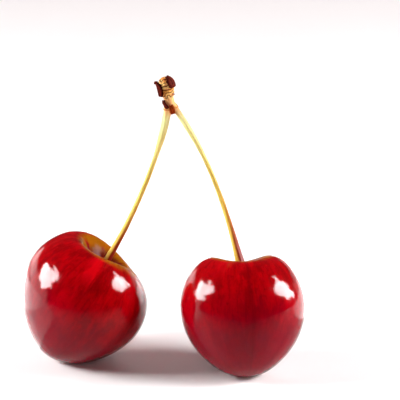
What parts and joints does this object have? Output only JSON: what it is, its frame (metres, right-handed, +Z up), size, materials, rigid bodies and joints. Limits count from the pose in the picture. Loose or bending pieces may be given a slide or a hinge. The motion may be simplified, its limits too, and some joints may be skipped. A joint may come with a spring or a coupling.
{
  "type": "cherries on stalks",
  "caption": "Glossy red sweet cherries on slender curved stalks that meet at a short woody spur with dark bud scales; the bunch stands on its fruits.",
  "frame": {"origin": "middle of the footprint, on the surface that the fruits rest on", "axes": "+X from the left fruit to the right fruit, +Y towards the back, +Z up towards the spur"},
  "size_m": [0.0608, 0.0342, 0.063],
  "materials": {
    "skin": "gloss",
    "stalk": "satin",
    "bark": "matte",
    "scale": "matte"
  },
  "bodies": {
    "root": {"cherry_left": "skin", "cherry_right": "skin", "stalk_left": "stalk", "stalk_right": "stalk", "spur": "bark", "bud_scale_left": "scale", "bud_scale_right": "scale", "bud_scale_back": "scale", "bract_front": "scale", "bract_left": "scale"}
  },
  "joints": []
}
